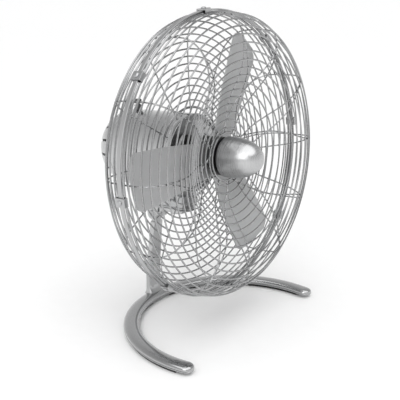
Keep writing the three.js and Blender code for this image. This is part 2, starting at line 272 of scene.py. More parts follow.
def hollowed(mesh, cutter):
    """The mesh that is left once the cutter is taken out of it."""
    body = bpy.data.objects.new("body_to_cut", mesh)
    tool = bpy.data.objects.new("cutting_tool", cutter)
    for obj in (body, tool):
        bpy.context.scene.collection.objects.link(obj)
    modify(body, "BOOLEAN", operation="DIFFERENCE", solver="EXACT", object=tool)
    bpy.context.view_layer.update()
    left = bpy.data.meshes.new_from_object(body.evaluated_get(bpy.context.evaluated_depsgraph_get()))
    for obj in (body, tool):
        bpy.data.objects.remove(obj)
    return left


def piece(name, shape, material, body, nodes, place=HEAD, bevel=0.0, crease=35, cutter=None):
    """Makes one finished piece that rides with its body and stands in for the named CAD nodes."""
    mesh = mesh_of(name, shape, place)
    if cutter:
        mesh = hollowed(mesh, mesh_of("cutter", cutter, place))
    mesh.materials.clear()
    mesh.materials.append(material)
    mesh.shade_smooth()
    mesh.set_sharp_from_angle(angle=math.radians(crease))
    obj = bpy.data.objects.new(name, mesh)
    bpy.context.scene.collection.objects.link(obj)
    if bevel:
        modify(obj, "BEVEL", width=bevel * MM, segments=3, limit_method="ANGLE", angle_limit=math.radians(40))
        modify(obj, "WEIGHTED_NORMAL", keep_sharp=True)
    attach(obj, body)
    if nodes:
        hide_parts(*nodes)
    return obj


# ------------------------------------------------------------------ materials
def new_material(name):
    material = bpy.data.materials.new(name)
    material.use_nodes = True
    return material, material.node_tree.nodes, material.node_tree.links


def mapped(nodes, links, stretch, turn=(0, 0, 0)):
    place = nodes.new("ShaderNodeTexCoord")
    mapping = nodes.new("ShaderNodeMapping")
    mapping.inputs["Scale"].default_value = stretch
    mapping.inputs["Rotation"].default_value = turn
    links.new(place.outputs["Object"], mapping.inputs["Vector"])
    return mapping.outputs["Vector"]


def noise(nodes, links, vector, scale, detail=3.0, roughness=0.55):
    texture = nodes.new("ShaderNodeTexNoise")
    texture.inputs["Scale"].default_value = scale
    texture.inputs["Detail"].default_value = detail
    texture.inputs["Roughness"].default_value = roughness
    links.new(vector, texture.inputs["Vector"])
    return texture.outputs["Fac"]


def spread(nodes, links, factor, low, high, start=0.25, end=0.75):
    span = nodes.new("ShaderNodeMapRange")
    span.inputs["From Min"].default_value = start
    span.inputs["From Max"].default_value = end
    span.inputs["To Min"].default_value = low
    span.inputs["To Max"].default_value = high
    links.new(factor, span.inputs["Value"])
    return span.outputs["Result"]


def shaded(nodes, links, factor, dark, light):
    ramp = nodes.new("ShaderNodeValToRGB")
    ramp.color_ramp.elements[0].position = 0.3
    ramp.color_ramp.elements[0].color = (*dark, 1)
    ramp.color_ramp.elements[1].position = 0.7
    ramp.color_ramp.elements[1].color = (*light, 1)
    links.new(factor, ramp.inputs["Fac"])
    return ramp.outputs["Color"]


def bump(nodes, links, height, strength, distance):
    relief = nodes.new("ShaderNodeBump")
    relief.inputs["Strength"].default_value = strength
    relief.inputs["Distance"].default_value = distance
    links.new(height, relief.inputs["Height"])
    return relief.outputs["Normal"]


def added(nodes, links, first, second, share):
    total = nodes.new("ShaderNodeMath")
    total.operation = "MULTIPLY_ADD"
    total.inputs[1].default_value = share
    links.new(second, total.inputs[0])
    links.new(first, total.inputs[2])
    return total.outputs["Value"]


HEAD_TURN = (-math.atan2(BACK.z, BACK.y), 0, 0)


def metal(name, dark, light, rough, stretch, relief=0.12, anisotropy=0.4, turn=HEAD_TURN, smears=0.05):
    """Brushed or satin metal: fine lines along one direction, with faint broad smears."""
    material, nodes, links = new_material(name)
    shader = nodes["Principled BSDF"]
    shader.inputs["Metallic"].default_value = 1.0
    shader.inputs["Anisotropic"].default_value = anisotropy
    lines = noise(nodes, links, mapped(nodes, links, stretch, turn), 1.0, 4.0)
    broad = noise(nodes, links, mapped(nodes, links, (1, 1, 1)), 22.0, 2.0)
    fine = added(nodes, links, spread(nodes, links, lines, rough[0], rough[1]), broad, smears)
    links.new(fine, shader.inputs["Roughness"])
    links.new(shaded(nodes, links, lines, dark, light), shader.inputs["Base Color"])
    links.new(bump(nodes, links, lines, relief, 0.00005), shader.inputs["Normal"])
    return material


def plastic(name, dark, light, rough, grain, relief=0.25):
    material, nodes, links = new_material(name)
    shader = nodes["Principled BSDF"]
    texture = noise(nodes, links, mapped(nodes, links, (1, 1, 1)), grain, 5.0)
    broad = noise(nodes, links, mapped(nodes, links, (1, 1, 1)), 35.0, 2.0)
    links.new(shaded(nodes, links, broad, dark, light), shader.inputs["Base Color"])
    links.new(spread(nodes, links, texture, rough[0], rough[1]), shader.inputs["Roughness"])
    links.new(bump(nodes, links, texture, relief, 0.0001), shader.inputs["Normal"])
    return material


def steel_grey(level):
    """A grey that is very slightly cool."""
    return level, level + 0.003, level + 0.007


# How closely a metal's lines lie along X, Y and Z; they run the way of the lowest number.
ROUND = (30, 2600, 30)             # round the head's axis
LENGTHWISE = (2600, 30, 2600)      # along the head's axis
SOFT_LENGTHWISE = (1400, 90, 1400)
UPRIGHT_LINES = (1800, 1800, 25)
FINE = (900, 900, 900)

housing_steel = metal("brushed_housing", steel_grey(0.48), steel_grey(0.58), (0.14, 0.22), ROUND, 0.08)
nose_steel = metal("brushed_nose", steel_grey(0.46), steel_grey(0.56), (0.22, 0.32), ROUND, 0.1)
base_steel = metal("polished_base", steel_grey(0.39), steel_grey(0.47), (0.1, 0.16), FINE, 0.03)
post_steel = metal("brushed_post", steel_grey(0.46), steel_grey(0.54), (0.24, 0.34), UPRIGHT_LINES, 0.15)
wire_steel = metal("satin_wire", steel_grey(0.33), steel_grey(0.41), (0.12, 0.2), FINE, 0.03, 0.0)
band_steel = metal("satin_band", steel_grey(0.42), steel_grey(0.5), (0.24, 0.34), ROUND, 0.1)
blade_metal = metal("satin_blade", steel_grey(0.47), steel_grey(0.53), (0.42, 0.52), SOFT_LENGTHWISE, 0.06,
                    anisotropy=0.0)
zinc_steel = metal("zinc_fastener", (0.4, 0.405, 0.41), (0.5, 0.505, 0.51), (0.28, 0.4), FINE, 0.06)
copper = metal("winding_copper", (0.4, 0.16, 0.07), (0.62, 0.28, 0.13), (0.3, 0.42), LENGTHWISE, 0.6)
grey_plastic = plastic("grey_plastic", (0.05, 0.05, 0.052), (0.075, 0.075, 0.078), (0.35, 0.5), 2600.0)
black_plastic = plastic("black_plastic", (0.012, 0.012, 0.013), (0.02, 0.02, 0.022), (0.42, 0.58), 2600.0)
rubber = plastic("rubber_pad", (0.012, 0.012, 0.012), (0.022, 0.022, 0.022), (0.75, 0.92), 1500.0, 0.4)

SLOT_LOOKS = {
    "body_steel": housing_steel,
    "wire_steel": wire_steel,
    "blade_metal": blade_metal,
    "black_plastic": black_plastic,
    "rubber": rubber,
    "fastener_steel": zinc_steel,
    "copper_winding": copper,
}


# ------------------------------------------------------------------ guards
WIRE = 0.95
RIM_WIRE = 1.5
FRONT_SECTION = [
    (168, -3.5), (165.5, -26), (152, -38.5), (128, -43), (104, -39), (77, -25), (58, -16.6), (29, -12.4),
]
REAR_SECTION = [(168, 3.5), (165, 23), (150, 37), (128, 42), (52, 42)]
FIRST_PITCH = 13.1           # from the rim ring to the second ring after it
FRONT_PITCH = 9.52
REAR_PITCH = 8.73
FRONT_INNER_WIRE = 1.2
REAR_INNER_WIRE = 1.5
SPOKES = 12
SWERVE = 20                  # how far a swerving leg ends up beside its own radius
SWERVE_FROM = 152            # radius where it starts to leave it
SWERVE_RUN = 80
SWERVING_LEG_START = 26      # distance along the section


def stations(total, first, pitch):
    """Distances along a guard's section: two close rings at the rim, then an even pitch."""
    places = [0.0, first / 2]
    while places[-1] < total - pitch / 2:
        places.append(first + pitch * (len(places) - 2))
    places[-1] = min(places[-1], total)
    return places


def guard_rings(section, first, pitch, inner_wire):
    curve = curve_through(section, 24)
    places = stations(length_of(curve), first, pitch)
    rings = []
    for i, distance in enumerate(places):
        (radius, y), _ = along(curve, distance)
        thickness = RIM_WIRE if i == 0 else inner_wire if i == len(places) - 1 else WIRE
        rings.append(ring_wire(radius, y, thickness))
    return together(rings)


def leg(section, angle, swerve, start=0.0, depth=1.0):
    """A wire on the inner side of a guard's section; swerve takes it off its own radius by the middle."""
    curve = curve_through(section, 24)
    total = length_of(curve)
    path = []
    steps = 64
    for i in range(steps + 1):
        (radius, y), run = along(curve, start + (total - start) * i / steps)
        inward = Vector((-run.y, run.x)) * depth
        radius, y = radius + inward.x * WIRE * 1.8, y + inward.y * WIRE * 1.8
        offset = swerve * smoothstep((SWERVE_FROM - radius) / SWERVE_RUN)
        offset = max(-radius * 0.97, min(radius * 0.97, offset))
        reach = math.sqrt(radius * radius - offset * offset)
        path.append(about_y(angle) @ Vector((reach, y, offset)))
    return tube(path, WIRE * 0.9)


def guard_spokes(section, depth, swerve):
    wires = []
    for i in range(SPOKES):
        angle = 360 / SPOKES * i
        turn = 1 if i % 2 == 0 else -1
        wires.append(leg(section, angle, 0, 0.0, depth))
        if swerve:
            wires.append(leg(section, angle, swerve * turn, SWERVING_LEG_START, depth))
    return together(wires)


BAND_INSIDE = 170
BAND_OUTSIDE = 171.6
BAND_HALF = 2.8


def guard_band():
    outline = [
        (BAND_INSIDE, -BAND_HALF), (BAND_OUTSIDE, -BAND_HALF),
        (BAND_OUTSIDE, BAND_HALF), (BAND_INSIDE, BAND_HALF),
    ]
    return lathe(eased(outline, 0.6), 256)


for node, section, pitch, inner_wire, depth, swerve in (
    ("front_guard", FRONT_SECTION, FRONT_PITCH, FRONT_INNER_WIRE, -1, SWERVE),
    ("rear_guard", REAR_SECTION, REAR_PITCH, REAR_INNER_WIRE, 1, 0),
):
    rings = guard_rings(section, FIRST_PITCH, pitch, inner_wire)
    piece(f"{node}_rings", rings, wire_steel, "head", [node])
    spokes = guard_spokes(section, depth, swerve)
    piece(f"{node}_spokes", spokes, wire_steel, "head", [node])
piece("guard_band_ring", guard_band(), band_steel, "head", ["guard_band"])


# ------------------------------------------------------------------ clips
CLIP_PHASE = 6
CLIPS = 8
CLIP_INSIDE = BAND_OUTSIDE + GAP
CLIP_OUTSIDE = 173.4
CLIP_LIP_END = 167.2
LIP_NEAR = 5.4
LIP_FAR = 6.6
CLIP_HALF_WIDTH = 5


def clip_shape():
    """A strap over the band with a lip down each side of it."""
    section = [
        (CLIP_INSIDE, -LIP_NEAR), (CLIP_LIP_END, -LIP_NEAR),
        (CLIP_LIP_END, -LIP_FAR), (CLIP_OUTSIDE, -LIP_FAR),
        (CLIP_OUTSIDE, LIP_FAR), (CLIP_LIP_END, LIP_FAR),
        (CLIP_LIP_END, LIP_NEAR), (CLIP_INSIDE, LIP_NEAR),
    ]
    return extruded(eased(section, 0.8, steps=2), -CLIP_HALF_WIDTH, CLIP_HALF_WIDTH)


def screw_head(radius, height):
    """A plain pan head, standing on Y = 0."""
    dome = [(0, 0), (radius, 0), (radius, height * 0.5), (radius * 0.55, height), (0, height)]
    return lathe(eased(dome, 0.5, closed=False), 40)


for i in range(CLIPS):
    turn = about_y(CLIP_PHASE + 360 / CLIPS * i)
    name = f"guard_clip_{i + 1}"
    piece(f"{name}_strap", moved(clip_shape(), turn), band_steel, "head", [name], bevel=0.4)
    lift = turn @ Matrix.Translation((CLIP_OUTSIDE, 0, 0)) @ ALONG_X
    piece(f"clip_screw_{i + 1}_head", moved(screw_head(3, 1.7), lift), zinc_steel, "head",
          [f"clip_screw_{i + 1}"])


# ------------------------------------------------------------------ rotor
SHAFT_RADIUS = 4
SHAFT_HOLE = SHAFT_RADIUS + GAP
HUB_RADIUS = 23
HUB_FRONT = -9
HUB_REAR = 24
BLADES = 3
BLADE_PHASE = 69
BLADE_PITCH = 8
BLADE_TIP = 149


def quadratic(start, bend, end, steps=14):
    start, bend, end = Vector(start), Vector(bend), Vector(end)
    shares = [k / steps for k in range(1, steps + 1)]
    return [start * (1 - t) ** 2 + bend * 2 * t * (1 - t) + end * t * t for t in shares]


def blade_outline():
    """The blade seen face on: first number outwards from the shaft, second across the blade."""
    points = [Vector((14, 17))]
    for bend, end in [
        ((80, 20), (BLADE_TIP - 8, 14)),
        ((BLADE_TIP + 1, 12), (BLADE_TIP + 1, 2)),
        ((BLADE_TIP + 1, -25), (BLADE_TIP - 9, -42)),
        ((BLADE_TIP - 13, -50), (BLADE_TIP - 22, -48)),
        ((70, -38), (14, -20)),
    ]:
        points += quadratic(points[-1], bend, end)
    return points


def chord_at(outline, reach):
    """The lowest and highest place across the blade at one distance from the shaft."""
    places = []
    for a, b in zip(outline, outline[1:] + outline[:1]):
        if (a.x - reach) * (b.x - reach) <= 0 and a.x != b.x:
            places.append(a.y + (b.y - a.y) * (reach - a.x) / (b.x - a.x))
    return min(places), max(places)


def blade_shape(camber=2.2, thickness=1.6):
    outline = blade_outline()
    last = max(p.x for p in outline) - 0.02
    reaches = [14.01 + (last - 14.01) * math.sin(math.pi / 2 * k / 46) for k in range(47)]
    across = 14
    faces_out, faces_in = [], []
    for reach in reaches:
        low, high = chord_at(outline, reach)
        for k in range(across + 1):
            t = k / across
            place = low + (high - low) * t
            bow = camber * (1 - (2 * t - 1) ** 2) * smoothstep((reach - 14) / 60)
            faces_out.append((reach, place, bow + thickness / 2))
            faces_in.append((reach, place, bow - thickness / 2))
    rows = len(reaches)
    width = across + 1
    verts = faces_out + faces_in
    under = len(faces_out)
    faces = []
    for i in range(rows - 1):
        for k in range(across):
            a = i * width + k
            faces.append([a, a + 1, a + width + 1, a + width])
            faces.append([under + v for v in (a + width, a + width + 1, a + 1, a)])
    edge = list(range(width)) + [i * width + across for i in range(1, rows)]
    edge += [(rows - 1) * width + k for k in range(across - 1, -1, -1)]
    edge += [i * width for i in range(rows - 2, 0, -1)]
    for a, b in zip(edge, edge[1:] + edge[:1]):
        faces.append([a, b, under + b, under + a])
    return verts, faces


BLADE_TURN = Matrix.Rotation(math.pi / 2 + math.radians(BLADE_PITCH), 4, "X")
BLADE_SET_BACK = Matrix.Translation((0, 2, 0))
for i in range(BLADES):
    place = BLADE_SET_BACK @ about_y(BLADE_PHASE + 360 / BLADES * i) @ BLADE_TURN
    name = f"blade_{i + 1}"
    piece(f"{name}_sheet", moved(blade_shape(), place), blade_metal, "rotor", [name],
          bevel=0.5, crease=50)

NOSE_FRONT = -62
NOSE_REAR = -14
NOSE_RADIUS = 24.5
NOSE_WALL = 1.2


def nose_profile():
    length = NOSE_REAR - NOSE_FRONT
    steps = 40
    outside = [(0.0, NOSE_FRONT)]
    for k in range(1, steps + 1):
        t = (k / steps) ** 1.6
        outside.append((NOSE_RADIUS * math.sqrt(1 - (1 - t) ** 2), NOSE_FRONT + length * 0.86 * t**1.1))
    outside += [(NOSE_RADIUS, NOSE_REAR - 0.5), (NOSE_RADIUS - 0.4, NOSE_REAR)]
    inside = [(radius - NOSE_WALL, y + NOSE_WALL) for radius, y in outside[6:-2]][::-1]
    return [*outside, (NOSE_RADIUS - NOSE_WALL, NOSE_REAR), *inside, (0.0, inside[-1][1])]


piece("nose_shell", lathe(nose_profile(), 128), nose_steel, "rotor", ["nose_cone"])
collar = eased([(0, -18), (18, -18), (18, -9.4), (0, -9.4)], 0.5, closed=False)
piece("hub_collar_ring", lathe(collar), black_plastic, "rotor", ["hub_collar"])
hub = [
    (SHAFT_HOLE, HUB_FRONT), (HUB_RADIUS, HUB_FRONT), (HUB_RADIUS, HUB_REAR),
    (17, HUB_REAR), (17, HUB_REAR - 4), (SHAFT_HOLE, HUB_REAR - 4),
]
piece("fan_hub_body", lathe(eased(hub, 1.2)), black_plastic, "rotor", ["fan_hub"])


# ------------------------------------------------------------------ motor
HOUSING_RADIUS = 49
HOUSING_FRONT = 36
HOUSING_REAR = 136
CAP_DEPTH = 40
CAP_SLOTS = 16
WALL = 1.6

barrel = eased([
    (HOUSING_RADIUS - WALL, HOUSING_FRONT), (HOUSING_RADIUS, HOUSING_FRONT),
    (HOUSING_RADIUS, HOUSING_FRONT + 6), (HOUSING_RADIUS - 0.4, HOUSING_FRONT + 6.4),
    (HOUSING_RADIUS, HOUSING_FRONT + 6.8),
    (HOUSING_RADIUS, HOUSING_REAR), (HOUSING_RADIUS - WALL, HOUSING_REAR),
], 0.5, steps=3)
piece("motor_barrel", lathe(barrel, 160), housing_steel, "head", ["motor_housing"])


def rear_cap():
    """A dome with long slots; the slots are left out of the skin, which is then given its thickness."""
    per_slot = 12
    columns = CAP_SLOTS * per_slot
    rim = HOUSING_REAR + GAP
    slot_half = 1.9
    between = 360 / CAP_SLOTS - 2 * slot_half
    offsets = [-slot_half, slot_half] + [slot_half + between * j / 11 for j in range(1, 11)]
    lifts = [0, 2, 6, 10, 15, 20, 26, 32, 38, 44, 50, 56, 61, 65, 69, 73, 76.5]
    angles = []
    for k in range(columns):
        place, step = divmod(k, per_slot)
        middle_angle = 360 / CAP_SLOTS * place + 4
        angles.append(math.radians(middle_angle + offsets[step]))
    verts, faces = [], []
    for lift in lifts:
        radius = HOUSING_RADIUS * math.cos(math.radians(lift))
        y = rim + CAP_DEPTH * math.sin(math.radians(lift))
        verts += [(radius * math.cos(a), y, radius * math.sin(a)) for a in angles]
    for row in range(len(lifts) - 1):
        slotted = 3 <= row < 12
        for k in range(columns):
            if slotted and k % per_slot == 0:
                continue
            n = (k + 1) % columns
            low, high = row * columns, (row + 1) * columns
            faces.append([low + k, low + n, high + n, high + k])
    return verts, faces


cap = piece("rear_cap_dome", rear_cap(), housing_steel, "head", ["rear_cap"])
modify(cap, "SOLIDIFY", thickness=WALL * MM, offset=-1.0, use_even_offset=True)
modify(cap, "BEVEL", width=0.25 * MM, segments=2, limit_method="ANGLE", angle_limit=math.radians(50))

PLATE_FRONT = HOUSING_FRONT + 0.5
PLATE_STEP = HOUSING_FRONT + 2
PLATE_REAR = HOUSING_FRONT + 4
PLATE_HOLE = SHAFT_RADIUS + 1
PLATE_RADIUS = 47
front_plate = [
    (PLATE_HOLE, PLATE_FRONT), (30, PLATE_FRONT), (33, PLATE_STEP),
    (PLATE_RADIUS, PLATE_STEP), (PLATE_RADIUS, PLATE_REAR), (PLATE_HOLE, PLATE_REAR),
]
piece("front_plate_disc", lathe(eased(front_plate, 0.6)), housing_steel, "head", ["front_plate"])


def ring_body(outer, inner, front, rear, ease=0.6):
    return lathe(eased([(inner, front), (outer, front), (outer, rear), (inner, rear)], ease), 96)


FRONT_BEARING = HOUSING_FRONT + 4.5
BEARING_END = FRONT_BEARING + 7.5
INSIDES = [
    # node, look, body, slot, outer and inner radius, front, rear, edge
    ("front_bearing", zinc_steel, "head", "fastener_steel", 11, SHAFT_HOLE, FRONT_BEARING, BEARING_END, 0.8),
    ("rear_bearing", zinc_steel, "head", "fastener_steel", 11, SHAFT_HOLE, 112, 119, 0.8),
    ("stator_core", zinc_steel, "head", "fastener_steel", 44, 21, 68, 98, 0.4),
    ("front_winding", copper, "head", "copper_winding", 38, 24, 59.5, 67.6, 3.6),
    ("rear_winding", copper, "head", "copper_winding", 38, 24, 98.4, 107, 3.6),
    ("rotor_core", zinc_steel, "rotor", "fastener_steel", 20, SHAFT_HOLE, 66, 100, 0.6),
]
for node, look, body, slot, outer, inner, front, rear, edge in INSIDES:
    piece(f"{node}_ring", ring_body(outer, inner, front, rear, edge), look, body, [node])

SHAFT_REAR = 126.5
shaft = eased([(0, HUB_FRONT), (SHAFT_RADIUS, HUB_FRONT), (SHAFT_RADIUS, SHAFT_REAR), (0, SHAFT_REAR)],
              0.6, closed=False)
piece("motor_shaft_rod", lathe(shaft, 48), zinc_steel, "rotor", ["motor_shaft"])

inlet = eased([
    (0, -51), (3, -51), (3, -55), (4.8, -55), (4.8, -53.8), (4.2, -53.6), (4.2, -53), (5, -52.8),
    (5, -51.9), (6, -51.7), (6, -49.4), (0, -49.4),
], 0.25, closed=False, steps=3)
INLET_Y = 124
piece("cord_inlet_sleeve", moved(lathe(inlet, 48), Matrix.Translation((0, INLET_Y, 0)) @ ALONG_Z),
      black_plastic, "head", ["cord_inlet"])

CAP_SCREWS = 4
for i in range(CAP_SCREWS):
    seat = Matrix.Translation((HOUSING_RADIUS - 0.2, HOUSING_REAR - 5, 0)) @ ALONG_X
    turn = about_y(45 + 360 / CAP_SCREWS * i) @ seat
    piece(f"cap_screw_{i + 1}", moved(screw_head(2.2, 1.1), turn), zinc_steel, "head", [])


# ------------------------------------------------------------------ knobs
def fluted(radius, flutes, depth, steps=8):
    outline = []
    for k in range(flutes * steps):
        angle = 2 * math.pi * k / (flutes * steps)
        wave = abs(math.sin(flutes * angle / 2)) ** 0.6
        reach = radius - depth + depth * wave
        outline.append((reach * math.cos(angle), reach * math.sin(angle)))
    return outline


def speed_knob():
    """A fluted dial with a flat face and a raised pointer, on a short stem."""
    grip = moved(extruded(fluted(13, 20, 0.9), -185, -177.5), Matrix.Rotation(math.pi / 2, 4, "X"))
    stem = lathe([(0, 159), (4, 159), (4, 174.5), (7.5, 177.6), (0, 177.6)], 48)
    pointer = block((-0.9, 184.6, 2.0), (0.9, 185.6, 11.0))
    return together([grip, stem, pointer])


piece("speed_knob_dial", speed_knob(), black_plastic, "speed_dial", ["speed_knob"],
      bevel=0.35)

KNOB_Y = HOUSING_REAR - 9


def swing_knob():
    """A pull knob on top of the motor: a collared stem with a rounded cross bar."""
    stem = eased([
        (0, 10), (2.9, 10), (2.9, 49.4), (4.4, 49.4), (4.5, 55.5), (2.4, 56.8), (2.3, 58.5), (0, 58.5),
    ], 0.7, closed=False)
    bar = eased([(-3, -5.5), (3, -5.5), (3, 5.5), (-3, 5.5)], 2.6, steps=6)
    shapes = [moved(lathe(stem, 64), ALONG_Z), extruded(bar, 57.6, 63)]
    return moved(together(shapes), Matrix.Translation((0, KNOB_Y, 0)))


piece("swing_knob_button", swing_knob(), grey_plastic, "swing_button", ["swing_knob"],
      bevel=0.6)


# ------------------------------------------------------------------ neck: case, arm and hinge
CHEEK_INNER = 7.4
CHEEK_OUTER = 12.6
KNUCKLE = 8
ARM_TOP = -73
CASE_HALF = 15
CASE_FLOOR = -71.5


def tilt_arm():
    bent = [
        (SWIVEL.y - 18, ARM_TOP), (SWIVEL.y - 18, ARM_TOP - 5), (SWIVEL.y + 14, ARM_TOP - 5),
        (PIVOT.y - 9, PIVOT.z + 3), (PIVOT.y - 12, ARM_TOP),
    ]
    shapes = [moved(extruded(eased(bent, 2.0), -CHEEK_OUTER, CHEEK_OUTER), SIDE_VIEW)]
    cheek = [(PIVOT.y + KNUCKLE * math.cos(a), PIVOT.z + KNUCKLE * math.sin(a))
             for a in (math.radians(d) for d in range(-110, 91, 8))]
    cheek = [(PIVOT.y - 14, PIVOT.z + KNUCKLE + 3.4), (PIVOT.y - 14, PIVOT.z + 5)] + cheek
    for side in (-1, 1):
        low, high = sorted((side * CHEEK_INNER, side * CHEEK_OUTER))
        shapes.append(moved(extruded(cheek, low, high), SIDE_VIEW))
    return together(shapes)


piece("tilt_arm_plate", tilt_arm(), post_steel, "tilt_frame", ["tilt_arm"], bevel=0.7)


CASE_FRONT = SWIVEL.y - 21
CASE_REAR = SWIVEL.y + 23
UPRIGHT = Matrix(((1, 0, 0, 0), (0, 0, 1, 0), (0, 1, 0, 0), (0, 0, 0, 1)))


def gearbox_case():
    """A block under the motor whose top follows the barrel."""
    radius = HOUSING_RADIUS + GAP
    steps = 12
    saddle = [CASE_HALF - 2 * CASE_HALF * k / steps for k in range(steps + 1)]
    top = [(x, -math.sqrt(radius * radius - x * x)) for x in saddle]
    bottom = [(-CASE_HALF, CASE_FLOOR + 2.3), (CASE_HALF, CASE_FLOOR + 2.3)]
    return moved(extruded(bottom + top, CASE_FRONT, CASE_REAR), UPRIGHT)


def case_vents():
    """Three blind windows in the case's left side."""
    window = eased([(-2.9, -3), (2.9, -3), (2.9, 3), (-2.9, 3)], 1.0)
    opening = moved(extruded(window, -30, -CASE_HALF + 4), SIDE_VIEW)
    places = [Matrix.Translation((0, SWIVEL.y + along_case, -59)) for along_case in (-10, 0, 10)]
    return together([moved(opening, place) for place in places])


piece("gearbox_case_body", gearbox_case(), zinc_steel, "head", ["gearbox_case"], bevel=0.6,
      cutter=case_vents())


def gearbox_lid():
    outline = [
        (-CASE_HALF, CASE_FRONT), (CASE_HALF, CASE_FRONT), (CASE_HALF, CASE_REAR), (-CASE_HALF, CASE_REAR),
    ]
    shapes = [extruded(eased(outline, 3.0, steps=6), CASE_FLOOR, CASE_FLOOR + 2)]
    for x in (-11, 11):
        for y in (CASE_FRONT + 4, CASE_REAR - 4):
            place = Matrix.Translation((x, y, CASE_FLOOR + 0.1)) @ ALONG_Z @ Matrix.Rotation(math.pi, 4, "X")
            shapes.append(moved(screw_head(2.4, 1.2), place))
    return together(shapes)


piece("gearbox_lid_plate", gearbox_lid(), zinc_steel, "head", ["gearbox_lid"], bevel=0.4)

PIN_RADIUS = 3
PIN_HOLE = PIN_RADIUS + GAP
NUT_RADIUS = 5.5
PIVOT_PLACE = Matrix.Translation((0, PIVOT.y, PIVOT.z))
AT_PIVOT = PIVOT_PLACE @ ALONG_X
pin = [
    (0, -15.6), (1.2, -15.6), (1.2, -14.6), (3.6, -14.6), (4.6, -14.2), (5, -13.4), (5, -12.9),
    (PIN_RADIUS, -12.9), (PIN_RADIUS, 16.1), (2.5, 16.6), (0, 16.6),
]
piece("tilt_pin_bolt", moved(lathe(pin, 48), AT_PIVOT), zinc_steel, "tilt_frame",
      ["tilt_pin"])
corners = [math.radians(60 * k) for k in range(6)]
hexagon = [(NUT_RADIUS * math.cos(a), NUT_RADIUS * math.sin(a)) for a in corners]
nut = moved(extruded(hexagon, CHEEK_OUTER + GAP, CHEEK_OUTER + 3.6), PIVOT_PLACE @ SIDE_VIEW)
piece("tilt_nut_hex", nut, zinc_steel, "tilt_frame", ["tilt_nut"], bevel=0.5)
for name, side in (("tilt_washer_left", -1), ("tilt_washer_right", 1)):
    near, far = sorted((side * 6.2, side * 7.2))
    washer = eased([(PIN_HOLE, near), (7.5, near), (7.5, far), (PIN_HOLE, far)], 0.3)
    piece(f"{name}_ring", moved(lathe(washer, 48), AT_PIVOT), black_plastic, "tilt_frame",
          [name])

spindle = eased([
    (0, ARM_TOP - 8), (9, ARM_TOP - 8), (9, ARM_TOP - 5.3), (6, ARM_TOP - 5.3), (6, -61.5), (0, -61.5),
], 0.6, closed=False)
piece("swivel_spindle_post", moved(lathe(spindle, 64), Matrix.Translation((0, SWIVEL.y, 0)) @ ALONG_Z),
      zinc_steel, "tilt_frame", ["swivel_spindle"])


# ------------------------------------------------------------------ stand
STAND = Matrix.Identity(4)


def oval(width, height, count=40, power=3.0):
    """A flattened round section."""
    ring = []
    for k in range(count):
        a = 2 * math.pi * k / count
        c, s = math.cos(a), math.sin(a)
        ring.append((
            width / 2 * math.copysign(abs(c) ** (2 / power), c),
            height / 2 * math.copysign(abs(s) ** (2 / power), s),
        ))
    return ring


def seamed(section, side, height, depth, spread_height):
    """Presses a fine groove into one side of a section."""
    made = []
    for across, up in section:
        near = abs(up - height) < spread_height and across * side > 0
        made.append((across - side * depth if near else across, up))
    return made


def base_arc():
    middle_z = (BASE_LOW.z + BASE_HIGH.z) / 2 - BASE_SINK / 2
    section = oval(BASE_WIDTH, BASE_HEIGHT + BASE_SINK, 96, 2.5)
    section = seamed(section, 1, -0.6, 0.7, 0.35)
    section = seamed(section, -1, -0.6, 0.7, 0.35)
    tip_angle = math.degrees(BASE_WIDTH / 2 / BASE_RADIUS)
    places = [(-BASE_HALF_ANGLE - tip_angle * math.sin(math.radians(d)), math.cos(math.radians(d)))
              for d in (89, 84, 76, 66, 54, 40, 25, 10)]
    count = 140
    places += [(-BASE_HALF_ANGLE + 2 * BASE_HALF_ANGLE * k / count, 1.0) for k in range(count + 1)]
    places += [(-angle, size) for angle, size in places[:8][::-1]]
    rings = []
    for degrees, size in places:
        a = math.radians(degrees)
        outwards = Vector((math.sin(a), math.cos(a), 0))
        centre = outwards * BASE_RADIUS + Vector((0, BASE_CENTRE_Y, middle_z))
        high = 0.35 + 0.65 * size if size < 1 else 1
        rings.append([
            centre + outwards * across * size + Vector((0, 0, up * high)) for across, up in section
        ])
    return loft(rings)


piece("base_tube", base_arc(), base_steel, "stand", ["base_arc"], STAND)


def post():
    """The bar's section changes from a broad foot to the narrow tongue of the knuckle."""
    foot = BASE_HIGH.z - 1.5
    back_face = BASE_CENTRE_Y + BASE_RADIUS
    stops = [
        # height, middle in Y, half width, half thickness
        (foot, back_face + 4.0, 14.5, 8.0),
        (foot + 3, back_face + 5.0, 13.0, 5.8),
        (foot + 7, back_face + 6.2, 12.1, 4.2),
        (foot + 13, back_face + 7.0, 11.8, 3.5),
        (foot + 30, back_face + 6.8, 11.4, 3.5),
        (foot + 50, back_face + 5.0, 10.8, 3.7),
        (foot + 75, back_face + 2.2, 9.6, 4.1),
        (PIVOT_WORLD.z - 16, PIVOT_WORLD.y + 3.6, 8.6, 4.4),
        (PIVOT_WORLD.z - 13, PIVOT_WORLD.y + 3.4, 7.6, 4.2),
        (PIVOT_WORLD.z - 11, PIVOT_WORLD.y + 3.2, 6.0, 4.0),
        (PIVOT_WORLD.z, PIVOT_WORLD.y + 2.6, 5.8, 3.6),
    ]
    rings = []
    for height, y, half_width, half_thickness in curve_through(stops, 6):
        rings.append([Vector((across, y + deep, height)) for across, deep in
                      oval(2 * half_width, 2 * half_thickness, 48, 6.0)])
    knuckle = eased([(PIN_HOLE, -6), (KNUCKLE, -6), (KNUCKLE, 6), (PIN_HOLE, 6)], 0.6)
    barrel = moved(lathe(knuckle, 64), Matrix.Translation(PIVOT_WORLD) @ ALONG_X)
    return together([loft(rings), barrel])


